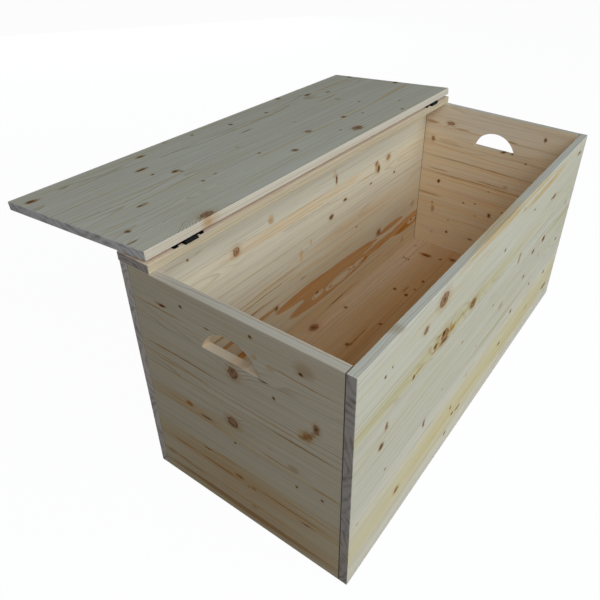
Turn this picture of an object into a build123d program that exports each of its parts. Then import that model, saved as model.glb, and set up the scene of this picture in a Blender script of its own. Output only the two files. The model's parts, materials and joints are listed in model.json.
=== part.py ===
from build123d import *
import math
import os

# A pine chest for toys: five glued boards make the box, a narrow rail lies fixed along the back,
# and the lid hangs on two black hinges at the rail's front edge.
# Millimetres. The origin is the centre of the box's footprint on the floor,
# X runs along the box, the front faces -Y and Z is up.
# The lid is drawn thrown right back, with its face lying over the rail's rear edge.

# Boards
LENGTH = 1100.0            # the box outside, end to end
DEPTH = 480.0              # the box outside, front to back
WALL_HEIGHT = 512.0
BOARD = 18.0               # thickness of every glued board
BOTTOM_RAISE = 24.0        # underside of the bottom panel above the floor
GROOVE_DEPTH = 6.0         # the bottom panel is let into the four walls this far
RAIL_WIDTH = 76.0
RAIL_OVERHANG = 2.0        # the rail stands out this far behind the back panel
LID_DEPTH = 398.0
LID_END_GAP = 1.0          # the lid stops this far short of each end of the box
EDGE_ROUND = 1.5           # sanded outer edges
ARRIS = 0.7                # small bevel on inner edges, on board ends and along the corner joints

# Half-moon hand holes
HOLE_WIDTH = 122.0         # the flat lower edge
HOLE_HEIGHT = 48.0         # from the flat edge to the top of the arc
HOLE_BELOW_TOP = 52.0      # wood left above the arc
HOLE_BEVEL = 1.0

# Splines: loose tongues glued half into one board and half into the other
SPLINE_WIDTH = 23.0
SPLINE_THICKNESS = 4.0
SPLINE_STOP = 60.0         # a spline stops this far short of each end of its joint, out of sight
SLOT_ROOM = 0.5            # glue room round the spline's edges

# Hinges
HINGE_INSET = 95.0         # from the box's end to the middle of a hinge
HINGE_LENGTH = 70.0
LEAF_WIDTH = 24.0
LEAF_THICKNESS = 1.6
LEAF_CORNER = 3.0
LEAF_SETBACK = 9.0         # from the pin to the front edge of the leaf's plate
EAR_LENGTH = 9.5           # at each end of the plate an ear reaches forward, past the barrel's end
EAR_REACH = 4.5
BARREL_LENGTH = 28.0
MIDDLE_KNUCKLE = 12.4      # the lid leaf's knuckle, between the rail leaf's two
KNUCKLE_RADIUS = 3.2
KNUCKLE_GAP = 0.3
PIN_RADIUS = 1.5
PIN_CLEARANCE = 0.05       # radial play of the lid's knuckle on the pin
PIN_HEAD = 0.8             # the pin stands out this far at each end of the barrel
PIN_TO_RAIL_FACE = 3.8     # the pin's height above the rail
PIN_TO_LID_FACE = 3.5      # the same from the lid's face: the closed lid lies just clear of the walls
PIN_BEFORE_RAIL = 1.4      # the pin lies this far in front of the rail's edge
PIN_TO_LID_EDGE = 3.0
LID_REST_GAP = 0.3         # left between the open lid and the rail's rear edge

# Hinge screws, countersunk through the leaf
SCREW_RADIUS = 1.7
SCREW_HEAD_RADIUS = 3.2
SCREW_LENGTH = 15.0
SCREW_SPACING = 44.0
RECESS_LENGTH = 3.6
RECESS_WIDTH = 0.8
RECESS_DEPTH = 1.1

# Places worked out from the sizes above
INNER_LENGTH = LENGTH - 2 * BOARD
INNER_DEPTH = DEPTH - 2 * BOARD
END_X = LENGTH / 2 - BOARD / 2
BACK_Y = DEPTH / 2 - BOARD / 2
BOTTOM_MIDDLE = BOTTOM_RAISE + BOARD / 2
RAIL_FRONT = DEPTH / 2 + RAIL_OVERHANG - RAIL_WIDTH
RAIL_TOP = WALL_HEIGHT + BOARD
PIN_Y = RAIL_FRONT - PIN_BEFORE_RAIL
PIN_Z = RAIL_TOP + PIN_TO_RAIL_FACE
HINGES = {"left": HINGE_INSET - LENGTH / 2, "right": LENGTH / 2 - HINGE_INSET}


def open_angle():
    """Degrees from the closed lid to the open one, whose face clears the rail's rounded rear edge."""
    back = RAIL_WIDTH + PIN_BEFORE_RAIL - EDGE_ROUND
    drop = PIN_TO_RAIL_FACE + EDGE_ROUND
    room = PIN_TO_LID_FACE - EDGE_ROUND - LID_REST_GAP
    return 180 + math.degrees(math.atan2(drop, back) + math.asin(room / math.hypot(back, drop)))


OPEN_ANGLE = open_angle()
AT_PIN = Pos(0, PIN_Y, PIN_Z)
LID_OPEN = AT_PIN * Rot(-OPEN_ANGLE, 0, 0)


def long_wall():
    """The front or back panel, show face towards -Y: rounded edges there, small bevels on the inside."""
    board = Pos(0, 0, WALL_HEIGHT / 2) * Box(LENGTH, BOARD, WALL_HEIGHT)
    board = fillet(board.faces().sort_by(Axis.Y)[0].edges(), EDGE_ROUND)
    return chamfer(board.faces().sort_by(Axis.Y)[-1].edges(), ARRIS)


def hand_hole(sill):
    """The half-moon that is cut through a side, with its flat edge at the height of the sill."""
    half = HOLE_WIDTH / 2
    with BuildSketch(Plane.XZ) as outline:
        with BuildLine():
            Line((half, sill), (-half, sill))
            ThreePointArc((-half, sill), (0, sill + HOLE_HEIGHT), (half, sill))
        make_face()
    return extrude(outline.sketch, BOARD, both=True)


def on_hole_rim(edge, sill):
    """Is this edge part of the hand hole's outline on one of the two faces?"""
    middle = edge @ 0.5
    inside = abs(middle.X) < HOLE_WIDTH / 2 and sill - ARRIS < middle.Z < sill + HOLE_HEIGHT + ARRIS
    return inside and abs(abs(middle.Y) - BOARD / 2) < ARRIS


def side_wall():
    """A side panel, show face towards -Y: its ends bevelled along the corner joints, its hand hole cut."""
    board = Pos(0, 0, WALL_HEIGHT / 2) * Box(INNER_DEPTH, BOARD, WALL_HEIGHT)
    top_edge = board.faces().sort_by(Axis.Y)[0].edges().sort_by(Axis.Z)[-1]
    board = fillet(top_edge, EDGE_ROUND)
    board = chamfer(board.edges().filter_by(Axis.Z), ARRIS)
    sill = WALL_HEIGHT - HOLE_BELOW_TOP - HOLE_HEIGHT
    board -= hand_hole(sill)
    rims = [edge for edge in board.edges() if on_hole_rim(edge, sill)]
    return chamfer(rims, HOLE_BEVEL)


def flat_board(width, depth):
    """A board lying flat on Z = 0: long edges sanded round, ends with a small bevel."""
    board = Pos(0, 0, BOARD / 2) * Box(width, depth, BOARD)
    board = fillet(board.edges().filter_by(Axis.X), EDGE_ROUND)
    ends = board.faces().filter_by(Axis.X)
    return chamfer(ends.edges(), ARRIS)


def spline(length, room):
    """A strip long in X and flat on XY, stopped at both ends, with room added round it for its slot."""
    grow = 2 * room
    return Box(length - 2 * SPLINE_STOP + grow, SPLINE_WIDTH + grow, SPLINE_THICKNESS)


def hinge_screw():
    """A countersunk screw with its head flush at Z = 0, pointing down."""
    with BuildSketch(Plane.XZ) as half:
        with BuildLine():
            Polyline(
                (0, 0),
                (SCREW_HEAD_RADIUS, 0),
                (SCREW_RADIUS, -LEAF_THICKNESS),
                (SCREW_RADIUS, -SCREW_LENGTH),
                (0, -SCREW_LENGTH),
                close=True,
            )
        make_face()
    return revolve(half.sketch, Axis.Z)


def cross_recess():
    """The cross in a screw's head, to be cut away at Z = 0."""
    bar = Box(RECESS_LENGTH, RECESS_WIDTH, 2 * RECESS_DEPTH)
    return bar + Rot(0, 0, 90) * bar


def screw_places(middle, towards, face):
    """Where the heads of a leaf's two screws lie, about the pin's line."""
    away = towards * (LEAF_SETBACK + LEAF_WIDTH / 2)
    top = LEAF_THICKNESS - face
    return [Pos(middle + side * SCREW_SPACING / 2, away, top) for side in (-1, 1)]


def knuckle(start, end, bore, face, towards):
    """A length of barrel on the pin's line, with the tongue that runs from it to the leaf's plate."""
    length = end - start
    tongue = Box(length, LEAF_SETBACK, LEAF_THICKNESS)
    tongue = Pos(0, towards * LEAF_SETBACK / 2, LEAF_THICKNESS / 2 - face) * tongue
    barrel = Rot(0, 90, 0) * Cylinder(KNUCKLE_RADIUS, length)
    hole = Rot(0, 90, 0) * Cylinder(bore, length)
    return Pos((start + end) / 2, 0, 0) * (barrel + tongue - hole)


def leaf(middle, knuckles, bore, face, towards):
    """One hinge leaf about the pin's line: a plate with an ear at each end, knuckles and screw holes."""
    plate = Box(HINGE_LENGTH, LEAF_WIDTH + EAR_REACH, LEAF_THICKNESS)
    plate = fillet(plate.edges().filter_by(Axis.Z), LEAF_CORNER)
    between_ears = Box(HINGE_LENGTH - 2 * EAR_LENGTH, EAR_REACH, LEAF_THICKNESS)
    plate -= Pos(0, -towards * LEAF_WIDTH / 2, 0) * between_ears
    away = towards * (LEAF_SETBACK + (LEAF_WIDTH - EAR_REACH) / 2)
    body = Pos(0, away, LEAF_THICKNESS / 2 - face) * plate
    for start, end in knuckles:
        body += knuckle(start, end, bore, face, towards)
    body = Pos(middle, 0, 0) * body
    return body - [place * hinge_screw() for place in screw_places(middle, towards, face)]


def hinge_pin(middle):
    """The pin through all three knuckles, with a bevelled end standing out at each side."""
    rod = Rot(0, 90, 0) * Cylinder(PIN_RADIUS, BARREL_LENGTH + 2 * PIN_HEAD)
    rod = chamfer(rod.edges().filter_by(GeomType.CIRCLE), PIN_HEAD / 2)
    return Pos(middle, 0, 0) * rod


# The boards where they stand, and the lid about the pin's line, closed
bottom = Box(INNER_LENGTH + 2 * GROOVE_DEPTH, INNER_DEPTH + 2 * GROOVE_DEPTH, BOARD)
boards = {
    "front_panel": Pos(0, -BACK_Y, 0) * long_wall(),
    "back_panel": Pos(0, BACK_Y, 0) * Rot(0, 0, 180) * long_wall(),
    "left_side_panel": Pos(-END_X, 0, 0) * Rot(0, 0, -90) * side_wall(),
    "right_side_panel": Pos(END_X, 0, 0) * Rot(0, 0, 90) * side_wall(),
    "bottom_panel": Pos(0, 0, BOTTOM_MIDDLE) * bottom,
    "hinge_rail": Pos(0, RAIL_FRONT + RAIL_WIDTH / 2, WALL_HEIGHT) * flat_board(LENGTH, RAIL_WIDTH),
}
for name in ("front_panel", "back_panel", "left_side_panel", "right_side_panel"):
    boards[name] -= boards["bottom_panel"]
lid_middle = -PIN_TO_LID_EDGE - LID_DEPTH / 2
lid = Pos(0, lid_middle, -PIN_TO_LID_FACE - BOARD) * flat_board(LENGTH - 2 * LID_END_GAP, LID_DEPTH)

# Splines: each one's name, the two boards it joins, where it lies across the joint, and the joint's length
joints = []
for end, x in (("left", -END_X), ("right", END_X)):
    for row, y in (("front", -INNER_DEPTH / 2), ("back", INNER_DEPTH / 2)):
        upright = Plane((x, y, WALL_HEIGHT / 2), x_dir=(0, 0, 1), z_dir=(1, 0, 0))
        joints.append((f"{row}_{end}_spline", f"{row}_panel", f"{end}_side_panel", upright, WALL_HEIGHT))
under_rail = Plane((0, BACK_Y, WALL_HEIGHT), x_dir=(1, 0, 0), z_dir=(0, 1, 0))
joints.append(("rail_spline", "hinge_rail", "back_panel", under_rail, LENGTH))

nodes = {}
for name, first, second, plane, length in joints:
    slot = plane.location * spline(length, SLOT_ROOM)
    boards[first] -= slot
    boards[second] -= slot
    nodes[name] = plane.location * spline(length, 0)

# Hinges: the rail's leaf and the pin stay with the box, the lid's leaf turns with the lid
half_barrel = BARREL_LENGTH / 2
half_middle = MIDDLE_KNUCKLE / 2
rail_knuckles = [
    (-half_barrel, -half_middle - KNUCKLE_GAP),
    (half_middle + KNUCKLE_GAP, half_barrel),
]
lid_knuckles = [(-half_middle, half_middle)]
lid_bore = PIN_RADIUS + PIN_CLEARANCE
screw = hinge_screw() - cross_recess()
for end, x in HINGES.items():
    rail_places = [AT_PIN * place for place in screw_places(x, 1, PIN_TO_RAIL_FACE)]
    lid_places = screw_places(x, -1, PIN_TO_LID_FACE)
    boards["hinge_rail"] -= [place * hinge_screw() for place in rail_places]
    lid -= [place * hinge_screw() for place in lid_places]
    nodes[f"{end}_hinge_rail_leaf"] = AT_PIN * leaf(x, rail_knuckles, PIN_RADIUS, PIN_TO_RAIL_FACE, 1)
    nodes[f"{end}_hinge_lid_leaf"] = LID_OPEN * leaf(x, lid_knuckles, lid_bore, PIN_TO_LID_FACE, -1)
    nodes[f"{end}_hinge_pin"] = AT_PIN * hinge_pin(x)
    nodes[f"{end}_rail_screws"] = Compound(children=[place * screw for place in rail_places])
    nodes[f"{end}_lid_screws"] = Compound(children=[LID_OPEN * place * screw for place in lid_places])

nodes.update(boards)
nodes["lid"] = LID_OPEN * lid

os.makedirs("parts", exist_ok=True)
for name, shape in nodes.items():
    export_step(shape, f"parts/{name}.step")
print(f"{len(nodes)} nodes, lid open by {OPEN_ANGLE:.4f} degrees, pin at y {PIN_Y:.3f}, z {PIN_Z:.3f}")
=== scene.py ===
# %% [markdown]
# # A pine toy box with its lid thrown back
# The real box is made of edge-glued softwood boards: five make the box, a narrow rail lies along the
# back, and the lid hangs from that rail on two black hinges. All shapes come from the CAD frame, which
# is loaded first and never moved. What this lesson adds is the camera, the light and above all the wood:
# staves, growth rings, knots and resin, made from shader nodes alone so that nothing depends on a picture.

# %% Load the frame
import json
import math
import random
from types import SimpleNamespace

import bpy
from mathutils import Euler, Matrix, Vector

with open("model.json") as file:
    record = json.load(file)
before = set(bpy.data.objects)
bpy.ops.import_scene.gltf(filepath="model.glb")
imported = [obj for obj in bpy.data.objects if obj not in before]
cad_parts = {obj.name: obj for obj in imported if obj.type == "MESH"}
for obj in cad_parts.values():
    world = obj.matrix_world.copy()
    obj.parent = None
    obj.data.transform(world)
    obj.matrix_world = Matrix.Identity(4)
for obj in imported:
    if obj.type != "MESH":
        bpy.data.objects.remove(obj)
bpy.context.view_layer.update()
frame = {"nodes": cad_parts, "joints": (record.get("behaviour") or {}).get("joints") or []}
scene = bpy.context.scene
scene.view_settings.view_transform = "Standard"

# %% [markdown]
# ## The camera
# The photograph was taken from above the left front corner with a moderately wide lens. A camera could
# be placed by eye, but here its place, turn and lens were fitted to the corners of the boards, so the
# edges fall where they do in the photograph. The shift is what the cropped framing needs.

# %% Camera
CAMERA_PLACE = (-1.0367, -0.5348, 1.0731)
CAMERA_TURN = (56.169, -1.954, -56.355)
LENS_MM = 35.64
SENSOR_MM = 36.0
SHIFT_RIGHT = -0.0893
SHIFT_UP = -0.0570

lens = bpy.data.cameras.new("photo_camera")
lens.lens = LENS_MM
lens.sensor_width = SENSOR_MM
lens.shift_x = SHIFT_RIGHT
lens.shift_y = SHIFT_UP
camera = bpy.data.objects.new("photo_camera", lens)
camera.location = CAMERA_PLACE
camera.rotation_euler = Euler([math.radians(angle) for angle in CAMERA_TURN])
scene.collection.objects.link(camera)
scene.camera = camera
print("camera at", CAMERA_PLACE)

# %% [markdown]
# ## Sockets as numbers
# Shader maths is easier to read as a formula than as a web of nodes. One small class wraps a socket, and
# Python's operators on it add the Math nodes. Every other kind of node is added by one method, which
# sets the node's own settings first and then fills or links its sockets. Colours are mixed, never added
# up, because a Math node would turn them grey.

# %% A socket that takes part in sums
class Wire:
    """One output socket. Python's operators on it add Math nodes to its tree."""

    def __init__(self, tree, socket):
        self.tree = tree
        self.socket = socket

    def math(self, operation, *values):
        return self.tree.add("ShaderNodeMath", {"operation": operation}, dict(enumerate(values)))

    def __add__(self, other):
        return self.math("ADD", self, other)

    def __radd__(self, other):
        return self.math("ADD", other, self)

    def __sub__(self, other):
        return self.math("SUBTRACT", self, other)

    def __rsub__(self, other):
        return self.math("SUBTRACT", other, self)

    def __mul__(self, other):
        return self.math("MULTIPLY", self, other)

    def __rmul__(self, other):
        return self.math("MULTIPLY", other, self)

    def __truediv__(self, other):
        return self.math("DIVIDE", self, other)

    def __rtruediv__(self, other):
        return self.math("DIVIDE", other, self)

    def __pow__(self, other):
        return self.math("POWER", self, other)

    def __abs__(self):
        return self.math("ABSOLUTE", self)

    def smaller(self, other):
        return self.math("MINIMUM", self, other)

    def larger(self, other):
        return self.math("MAXIMUM", self, other)

    def rise(self, low, high):
        """0 below low, 1 above high, smooth between; with low above high it falls instead."""
        return self.tree.add(
            "ShaderNodeMapRange",
            {"interpolation_type": "SMOOTHSTEP"},
            {"Value": self, "From Min": low, "From Max": high},
        )


print("sums of wires: + - * / ** abs, smaller, larger, rise")

# %% A tree of nodes
class Tree:
    """The nodes of one material or of the world."""

    def __init__(self, node_tree):
        self.nodes = node_tree.nodes
        self.links = node_tree.links
        self.nodes.clear()

    def add(self, kind, settings=None, inputs=None, outputs=(0,)):
        node = self.nodes.new(kind)
        for key, value in (settings or {}).items():
            if key == "stops":
                fill_ramp(node.color_ramp, value)
            else:
                setattr(node, key, value)
        for key, value in (inputs or {}).items():
            target = socket_of(node.inputs, key)
            if isinstance(value, Wire):
                self.links.new(value.socket, target)
            else:
                target.default_value = value
        wires = [Wire(self, socket_of(node.outputs, key)) for key in outputs]
        return wires[0] if len(wires) == 1 else wires

    def mix(self, share, below, above, how="MIX"):
        """The colour below, covered by the colour above as far as share says."""
        return self.add(
            "ShaderNodeMix",
            {"data_type": "RGBA", "clamp_factor": True, "blend_type": how},
            {"Factor_Float": share, "A_Color": below, "B_Color": above},
            ("Result_Color",),
        )

    def stain(self, share, below, tone):
        """The colour below, darkened by a dye that lets through only so much red, green and blue."""
        return self.mix(share, below, tone, "MULTIPLY")


def socket_of(sockets, key):
    """A socket by its number, or by its identifier or name."""
    if isinstance(key, int):
        return sockets[key]
    exact = [socket for socket in sockets if socket.identifier == key]
    return exact[0] if exact else sockets[key]


def fill_ramp(ramp, stops):
    """Gives a colour ramp hard steps at the places listed."""
    ramp.interpolation = "CONSTANT"
    while len(ramp.elements) > 1:
        ramp.elements.remove(ramp.elements[-1])
    for number, (place, colour) in enumerate(stops):
        stop = ramp.elements[0] if number == 0 else ramp.elements.new(place)
        stop.position = place
        stop.color = colour


print("a tree adds nodes, mixes colours and stains them")

# %% [markdown]
# ## Floor and light
# The photograph was taken in cool daylight from the front, as through a wide doorway: the front and the
# inside of the back face it, the top catches it at a slant, and the left side lies in shade. Two broad
# soft lamps in front give that, and a weak one behind keeps the far sides readable. The floor and the sky
# are white to rays that look at them, from the camera or by way of a shiny or clear face, and dark to
# rays that carry light. So the background is white without any more light on the wood, and the floor keeps
# a little of its own shading, which holds the box's shadow.

# %% Sky
SKY_LIGHT = (0.06, 0.075, 0.10, 1.0)
WHITE = (1.0, 1.0, 1.0, 1.0)
LOOKING = ("Is Camera Ray", "Is Glossy Ray", "Is Transmission Ray")


def seen_directly(tree):
    """1 for rays that look and 0 for rays that carry light."""
    camera_ray, glossy_ray, clear_ray = tree.add("ShaderNodeLightPath", outputs=LOOKING)
    return camera_ray.larger(glossy_ray).larger(clear_ray)


world = bpy.data.worlds.new("daylight")
world.use_nodes = True
scene.world = world
sky = Tree(world.node_tree)
sky_light = sky.add("ShaderNodeBackground", inputs={"Color": SKY_LIGHT, "Strength": 1.0})
sky_seen = sky.add("ShaderNodeBackground", inputs={"Color": WHITE, "Strength": 1.0})
sky_both = sky.add("ShaderNodeMixShader", inputs={0: seen_directly(sky), 1: sky_light, 2: sky_seen})
sky.add("ShaderNodeOutputWorld", inputs={"Surface": sky_both}, outputs=())
print("sky light", SKY_LIGHT[:3])

# %% Floor
FLOOR_HALF = 60.0
FLOOR_BELOW = 0.0005       # just under the box, so that the two never coincide
FLOOR_TONE = (0.34, 0.31, 0.26, 1.0)
FLOOR_WHITE_SHARE = 0.97


def new_finish(name):
    """An empty material and the tree that holds its nodes."""
    material = bpy.data.materials.new(name)
    material.use_nodes = True
    return material, Tree(material.node_tree)


signs = [(-1, -1), (1, -1), (1, 1), (-1, 1)]
corners = [(x * FLOOR_HALF, y * FLOOR_HALF, -FLOOR_BELOW) for x, y in signs]
floor_mesh = bpy.data.meshes.new("floor")
floor_mesh.from_pydata(corners, [], [(0, 1, 2, 3)])
floor = bpy.data.objects.new("floor", floor_mesh)
scene.collection.objects.link(floor)

floor_material, ground = new_finish("pale_floor")
direct = seen_directly(ground)
ground_tone = ground.mix(direct, FLOOR_TONE, WHITE)
matt = ground.add("ShaderNodeBsdfDiffuse", inputs={"Color": ground_tone})
glow = ground.add("ShaderNodeEmission", inputs={"Color": WHITE, "Strength": 1.0})
ground_both = ground.add("ShaderNodeMixShader", inputs={0: direct * FLOOR_WHITE_SHARE, 1: matt, 2: glow})
ground.add("ShaderNodeOutputMaterial", inputs={"Surface": ground_both}, outputs=())
floor_mesh.materials.append(floor_material)
print("floor", 2 * FLOOR_HALF, "m across")

# %% Lamps
LAMP_AIM = (0.0, 0.0, 0.4)
LAMP_DISTANCE = 4.0


def lamp(name, azimuth, height, size, colour, level):
    """A flat lamp aimed at the box; azimuth and height in degrees, from straight in front of it.
    Its level is how brightly a white face that looks at the lamp renders."""
    data = bpy.data.lights.new(name, "AREA")
    data.shape = "RECTANGLE"
    data.size, data.size_y = size
    data.color = colour
    data.energy = level * (math.pi * LAMP_DISTANCE) ** 2
    turn = math.radians(azimuth)
    lift = math.radians(height)
    holder = bpy.data.objects.new(name, data)
    holder.location = (
        LAMP_AIM[0] + LAMP_DISTANCE * math.sin(turn) * math.cos(lift),
        LAMP_AIM[1] - LAMP_DISTANCE * math.cos(turn) * math.cos(lift),
        LAMP_AIM[2] + LAMP_DISTANCE * math.sin(lift),
    )
    holder.rotation_euler = Euler((math.pi / 2 - lift, 0.0, turn))
    scene.collection.objects.link(holder)
    print(name, round(data.energy), "watts")


lamp("doorway_light", 10.0, 25.0, (2.6, 1.6), (0.68, 0.82, 1.0), 0.60)
lamp("window_light", -42.0, 44.0, (3.6, 2.0), (0.72, 0.82, 0.98), 0.585)
lamp("far_side_light", 150.0, 3.0, (3.0, 1.5), (0.80, 0.88, 1.0), 0.45)

# %% [markdown]
# ## Pine: where a point lies in its board
# Every board was sawn from trees, so its pattern belongs to the board and not to the room. The first step
# turns a point of the object into millimetres along the grain, across the staves and through the
# thickness. The lid needs one step more, because it is drawn open: its points are swung shut about the
# hinge pin first, so that its pattern is laid out on a flat board like the others. Where each board starts
# and ends is measured on its own mesh in the same way.

# %% Grain directions
ALONG, ACROSS, THROUGH = 0, 1, 2
LOW, HIGH = 0, 1
TO_MM = 1000.0
SQUARE = (0.4, 0.9)        # between these, a face comes to count as square to a direction

hinge = frame["joints"][0]
PIN = tuple(hinge["pos_m"])
OPENING = math.radians(hinge["range_deg"][1])


def grain_place(tree, axes, swung=False):
    """Along, across and through the board, in millimetres."""
    point = tree.add("ShaderNodeTexCoord", outputs=("Object",))
    if swung:
        shut = {"Vector": point, "Center": PIN, "Angle": OPENING}
        point = tree.add("ShaderNodeVectorRotate", {"rotation_type": "X_AXIS"}, shut)
        point = tree.add("ShaderNodeVectorMath", {"operation": "SUBTRACT"}, {0: point, 1: PIN})
    parts = tree.add("ShaderNodeSeparateXYZ", inputs={0: point}, outputs=("X", "Y", "Z"))
    named = dict(zip("XYZ", parts))
    return [named[axis] * TO_MM for axis in axes]


def facing(tree, axis):
    """1 on faces square to an axis of the room, falling to 0 on faces that lie along it."""
    normal = tree.add("ShaderNodeTexCoord", outputs=("Normal",))
    parts = tree.add("ShaderNodeSeparateXYZ", inputs={0: normal}, outputs=("X", "Y", "Z"))
    return abs(dict(zip("XYZ", parts))[axis]).rise(*SQUARE)


def board_limits(name, axes, swung):
    """Where a board starts and ends along, across and through, in millimetres."""
    points = [vertex.co for vertex in frame["nodes"][name].data.vertices]
    if swung:
        shut = Matrix.Rotation(OPENING, 3, "X")
        points = [shut @ (point - Vector(PIN)) for point in points]
    limits = []
    for axis in axes:
        places = [point["XYZ".index(axis)] * TO_MM for point in points]
        limits.append((round(min(places), 1), round(max(places), 1)))
    return limits


print("pin", PIN, "opening", round(math.degrees(OPENING), 2))
print("lid along, across and through:", board_limits("lid", "XYZ", True))

# %% [markdown]
# ## Pine: noise stretched along the grain
# Wood hardly changes along the grain and quickly across it. A noise texture gives that when the point is
# squeezed along the grain before the noise is read. The same helper makes the slow drift of the rings,
# the broad bands and the fine fibres, each with its own lengths in millimetres.

# %% Stretched noise
MEAN = 0.5                 # what a noise texture gives on average
NOISE_ROUGHNESS = 0.55


def stretched_noise(tree, place, pattern, seed, coloured=False):
    """Noise in patches. A pattern gives their length, width and detail, and a shift that sets it apart."""
    long, wide, detail, shift = pattern
    along, across, through = place
    start = seed + shift
    squeezed = tree.add(
        "ShaderNodeCombineXYZ",
        inputs={0: along / long + start, 1: across / wide + start, 2: through / wide},
    )
    wanted = {"Vector": squeezed, "Scale": 1.0, "Detail": detail, "Roughness": NOISE_ROUGHNESS}
    return tree.add("ShaderNodeTexNoise", inputs=wanted, outputs=("Color" if coloured else 0,))


print("noise has a mean of", MEAN)

# %% [markdown]
# ## Pine: staves
# A glued panel is a row of staves, each from another log. A ramp with hard steps tells a point which
# stave it is in, and its four channels carry where that stave's pith lies, how yellow it is and how wide
# its rings are. Thin dark lines of glue show where two staves meet.

# %% Staves
PITH_MARGIN = 60.0         # a pith may lie this far outside the board's edges
PITH_ASIDE = 0.7           # and this far from the middle of its stave, in widths of the stave
PITH_DEPTH = 160.0         # the span of depths for a pith, half above the board and half below
PITH_SHARE = (0.12, 0.45)  # the least and the most of that span, from the middle
RING_NARROW = 2.4
RING_SPREAD = 2.4
GLUE_LINE = (1.3, 0.2)


def stave_channels(tree, across, board, rng):
    """Pith across, pith depth, yellowness and ring width of the stave that a point lies in."""
    low, high = board.span
    width = high - low
    room = width + 2 * PITH_MARGIN
    stops = []
    start = low
    for end, yellow in board.staves:
        pith = (start + end) / 2 + (end - start) * rng.uniform(-PITH_ASIDE, PITH_ASIDE)
        depth = MEAN + rng.choice((-1, 1)) * rng.uniform(*PITH_SHARE)
        channels = ((pith - low + PITH_MARGIN) / room, depth, yellow, rng.random())
        stops.append(((start - low) / width, channels))
        start = end
    share = (across - low) / width
    colour, ring = tree.add("ShaderNodeValToRGB", {"stops": stops}, {0: share}, ("Color", "Alpha"))
    pith, depth, yellow = tree.add("ShaderNodeSeparateColor", inputs={0: colour}, outputs=(0, 1, 2))
    pith_across = pith * room + (low - PITH_MARGIN)
    pith_through = (depth - MEAN) * PITH_DEPTH + board.middle
    return pith_across, pith_through, yellow, ring * RING_SPREAD + RING_NARROW


def glue_lines(across, board):
    """1 within a hair of a joint between two staves."""
    lines = None
    for edge, _ in board.staves[:-1]:
        line = abs(across - edge).rise(*GLUE_LINE)
        lines = line if lines is None else lines.larger(line)
    return lines


print("rings", RING_NARROW, "to", RING_NARROW + RING_SPREAD, "mm wide")

# %% [markdown]
# ## Pine: knots and streaks
# A knot is a branch that the board was cut through. Each one is an ellipse in the board's own
# millimetres, and its field is the distance from the middle in units of the knot's own size, so 1 is
# the rim. The nearest of many knots is a chain of minimums. Streaks of resin are very long, thin
# ellipses, treated alike. All would look stamped, so the point wavers with some noise first, and it
# shifts with its depth in the board, because a branch leans.

# %% Nearest mark
def nearest(tree, spot, marks, stretch=(1.0, 1.0)):
    """Distance to the nearest mark, in units of that mark's own size."""
    best = None
    for along, across, long, wide in marks:
        long *= stretch[0]
        wide *= stretch[1]
        inputs = {0: spot, 1: (1 / long, 1 / wide, 0.0), 2: (-along / long, -across / wide, 0.0)}
        scaled = tree.add("ShaderNodeVectorMath", {"operation": "MULTIPLY_ADD"}, inputs)
        away = tree.add("ShaderNodeVectorMath", {"operation": "LENGTH"}, {0: scaled}, ("Value",))
        best = away if best is None else best.smaller(away)
    return best


print("a mark is along, across, half length and half width, in mm")

# %% Marks laid out on a board
WAVER = (24.0, 9.0, 4.0, 3)
DRIFT = (260.0, 60.0, 1.0, 7)
RAGGED = (9.0, 4.0, 3.0, 31)
WAVER_ALONG = 9.0          # how far a rim wanders, in millimetres
WAVER_ACROSS = 5.0
STREAK_DRIFT = 16.0        # how far a streak wanders off its line
LEAN_ALONG = 0.2           # how far a branch leans for each millimetre into the board
LEAN_ACROSS = 0.12
RAGGED_RIM = 0.9
OFF_SAWN_ENDS = 3.0        # distance added on sawn ends, where no knot shows
HALF_LENGTH = 2            # its place in a mark
LARGE_KNOT = 9.0           # from this half length on, a knot is an eye, which the rings run round
EYE_REACH = (4.0, 2.6)     # they do so within this many times its size


def laid_marks(tree, board, place, seed):
    """The distances to the board's knots and eyes, and the spot at which streaks are read."""
    along, across, through = place
    sawn = facing(tree, board.axes[ALONG])
    waver = stretched_noise(tree, place, WAVER, seed, coloured=True)
    waver_x, waver_y, waver_z = tree.add("ShaderNodeSeparateColor", inputs={0: waver}, outputs=(0, 1, 2))
    drift = stretched_noise(tree, place, DRIFT, seed)
    ragged = stretched_noise(tree, place, RAGGED, seed)
    lean = through - board.face_place
    wavy_along = along + (waver_x - MEAN) * WAVER_ALONG + lean * LEAN_ALONG
    wavy_across = across + (waver_y - MEAN) * WAVER_ACROSS + lean * LEAN_ACROSS
    streak_across = wavy_across + (drift - MEAN) * STREAK_DRIFT
    knot_spot = tree.add("ShaderNodeCombineXYZ", inputs={0: wavy_along, 1: wavy_across})
    streak_spot = tree.add("ShaderNodeCombineXYZ", inputs={0: wavy_along, 1: streak_across})
    hidden = sawn * OFF_SAWN_ENDS
    rim = (ragged - MEAN) * RAGGED_RIM + hidden
    eyes = board.eyes or [mark for mark in board.live if mark[HALF_LENGTH] >= LARGE_KNOT]
    return SimpleNamespace(
        sawn=sawn,
        ragged=ragged,
        waver=waver_z,
        streak_spot=streak_spot,
        live=nearest(tree, knot_spot, board.live) + rim,
        dead=nearest(tree, knot_spot, board.dead) + rim,
        shade=nearest(tree, knot_spot, board.shade) + hidden,
        eyes=nearest(tree, knot_spot, eyes, EYE_REACH),
    )


print("rims wander", WAVER_ALONG, "by", WAVER_ACROSS, "mm")

# %% [markdown]
# ## Pine: growth rings
# The distance from the pith, divided by the width of a ring, counts the rings: on the faces they come out
# as long pointed arches, on the sawn ends as arcs, as they do in real wood. Each year ends in a dark line
# of late wood. A white noise read at the number of the year makes some lines strong and others faint, and
# a large knot pushes the rings aside.

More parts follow.
